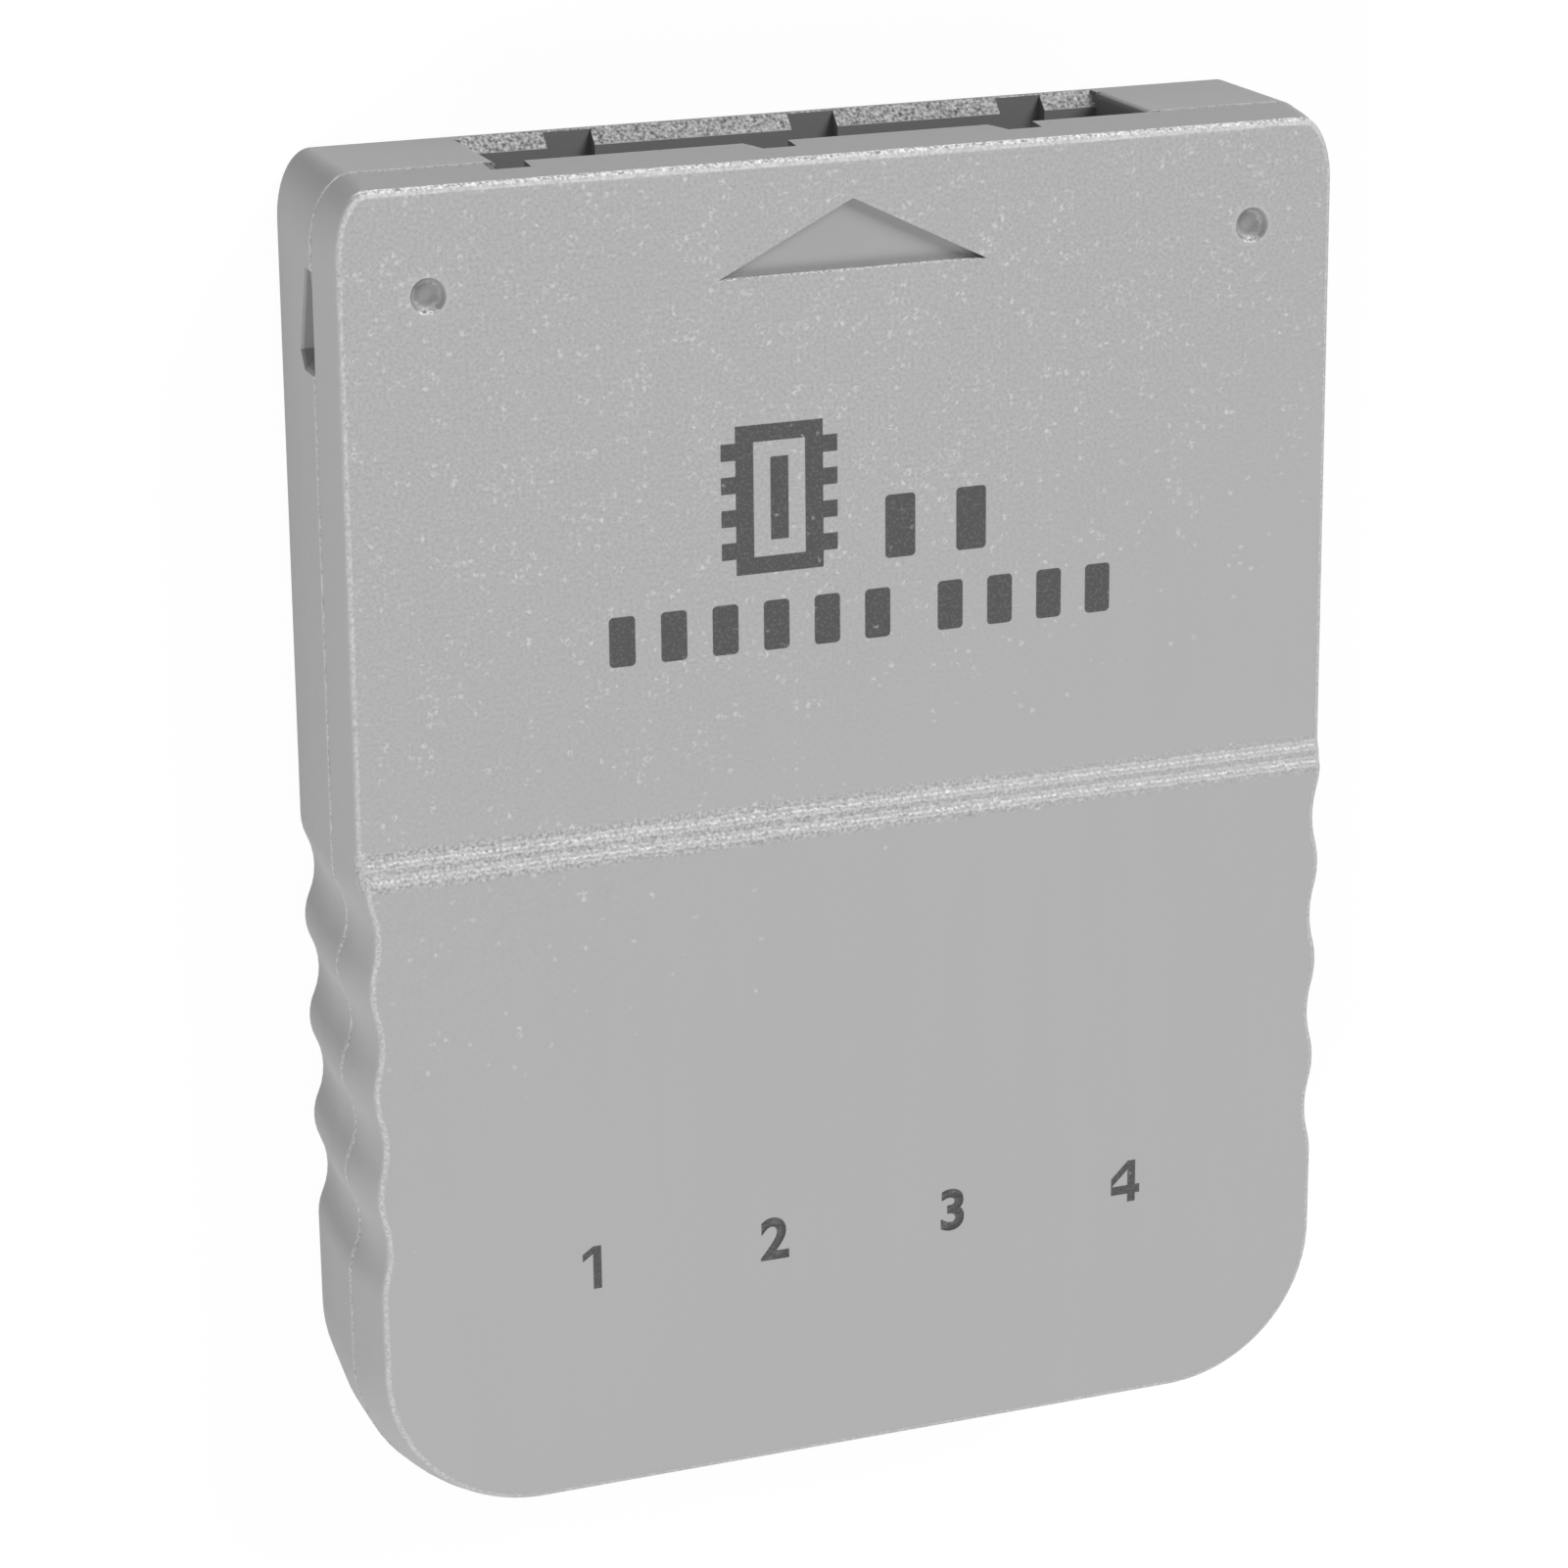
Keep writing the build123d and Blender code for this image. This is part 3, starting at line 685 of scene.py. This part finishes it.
def straight_figures(material):
    """Figure one with a flag at its upper left, and figure four with its slant and crossbar."""
    stroke_figure("page_number_1", material, DIGIT_FIRST_X - DIGIT_FLAG[0] / 2, 6, [(5, -1, DIGIT_FLAG)])
    drop = DIGIT_HEIGHT * 2 / 5
    strokes = [(1, -1, (-FOUR_REACH, 0)), (1, 1, (FOUR_STUB, 0)), (4, -1, (-FOUR_REACH, -drop))]
    four_x = DIGIT_FIRST_X + 3 * DIGIT_PITCH + (FOUR_REACH - FOUR_STUB) / 2
    stroke_figure("page_number_4", material, four_x, 5, strokes)


def round_figures(material):
    """Plain figures two and three along the tail."""
    for i in range(1, 3):
        bpy.ops.object.select_all(action="DESELECT")
        bpy.ops.object.text_add(location=(0, 0, 0))
        digit = bpy.context.object
        digit.data.body = str(i + 1)
        digit.data.align_x = "CENTER"
        digit.data.offset = DIGIT_BOLDNESS
        digit.data.resolution_u = 6
        bpy.ops.object.convert(target="MESH")
        piece = start_piece(f"page_number_{i + 1}", material)
        heights = [v.co.y for v in piece.data.vertices]
        widths = [v.co.x for v in piece.data.vertices]
        scale = DIGIT_HEIGHT * MM / (max(heights) - min(heights))
        middle = Vector(((max(widths) + min(widths)) / 2, (max(heights) + min(heights)) / 2, 0))
        goal = Vector((DIGIT_FIRST_X + i * DIGIT_PITCH, DIGIT_Y, GRIP_FACE - INK_SINK)) * MM
        piece.scale = (scale, scale, scale)
        piece.location = goal - middle * scale
        bpy.ops.object.transform_apply(location=True, rotation=True, scale=True)
        bpy.ops.object.mode_set(mode="EDIT")
        bpy.ops.mesh.select_all(action="SELECT")
        bpy.ops.mesh.remove_doubles(threshold=0.001 * MM)
        thicken()
        settle(piece)


def floor_paper():
    """White paper that looks white to the camera and keeps a soft shadow of the card."""
    bpy.ops.object.select_all(action="DESELECT")
    bpy.ops.mesh.primitive_plane_add(size=6, location=(0, 0, -0.02 * MM))
    floor = bpy.context.object
    floor.name = "floor"
    material = bpy.data.materials.new("floor_paper")
    material.use_nodes = True
    tree = material.node_tree
    tree.nodes.clear()
    paper = node(tree, "ShaderNodeBsdfDiffuse", {"Color": FLOOR_GREY})
    glow = node(tree, "ShaderNodeEmission", {"Color": (1, 1, 1, 1), "Strength": FLOOR_GLOW})
    path = node(tree, "ShaderNodeLightPath").outputs
    seen = reckon(tree, "MAXIMUM", path["Is Camera Ray"], path["Is Glossy Ray"])
    seen = reckon(tree, "MAXIMUM", seen, path["Is Transmission Ray"])
    share = reckon(tree, "MULTIPLY", seen, FLOOR_GLOW_SHARE)
    mixed = node(tree, "ShaderNodeMixShader", {0: share, 1: paper.outputs[0], 2: glow.outputs[0]})
    out = tree.nodes.new("ShaderNodeOutputMaterial")
    tree.links.new(mixed.outputs[0], out.inputs["Surface"])
    floor.data.materials.append(material)


def studio_world():
    """Even white surround, full white where the camera sees it."""
    world = bpy.data.worlds.new("studio")
    bpy.context.scene.world = world
    world.use_nodes = True
    tree = world.node_tree
    tree.nodes.clear()
    path = node(tree, "ShaderNodeLightPath").outputs
    seen = reckon(tree, "MAXIMUM", path["Is Camera Ray"], path["Is Transmission Ray"])
    strength = node(tree, "ShaderNodeMapRange", {"Value": seen, "To Min": WORLD_LIGHT, "To Max": 1.0})
    sky = node(tree, "ShaderNodeBackground", {"Color": (1, 1, 1, 1), "Strength": strength.outputs[0]})
    out = tree.nodes.new("ShaderNodeOutputWorld")
    tree.links.new(sky.outputs[0], out.inputs["Surface"])


def soft_light(name, place, power):
    """Round soft lamp aimed at the middle of the card."""
    data = bpy.data.lights.new(name, "AREA")
    data.shape = "DISK"
    data.size = LAMP_SIZE
    data.energy = power
    lamp = bpy.data.objects.new(name, data)
    bpy.context.scene.collection.objects.link(lamp)
    lamp.location = place
    lamp.rotation_euler = (-Vector(place)).to_track_quat("-Z", "Y").to_euler()


def product_camera():
    """Camera at the viewing angle of the photograph."""
    data = bpy.data.cameras.new("camera")
    data.sensor_width = 36
    data.lens = 104.401
    data.clip_start = 0.01
    camera = bpy.data.objects.new("camera", data)
    bpy.context.scene.collection.objects.link(camera)
    bpy.context.scene.camera = camera
    right = Vector((0.936479, -0.009797, 0.350586))
    up = Vector((0.119042, 0.949148, -0.291458))
    ahead = Vector((0.329903, -0.314678, -0.890023))
    eye = Vector((-62.647, 58.993, 169.118)) * MM
    turn = Matrix((right, up, -ahead)).transposed().to_4x4()
    camera.matrix_world = Matrix.Translation(eye) @ turn


dress_frame()
ink = print_ink()
chip_sign(ink)
bar_rows(ink)
straight_figures(ink)
round_figures(ink)
floor_paper()
studio_world()
soft_light("key", KEY_PLACE, KEY_POWER)
soft_light("fill", FILL_PLACE, FILL_POWER)
product_camera()
bpy.context.scene.view_settings.view_transform = "Standard"
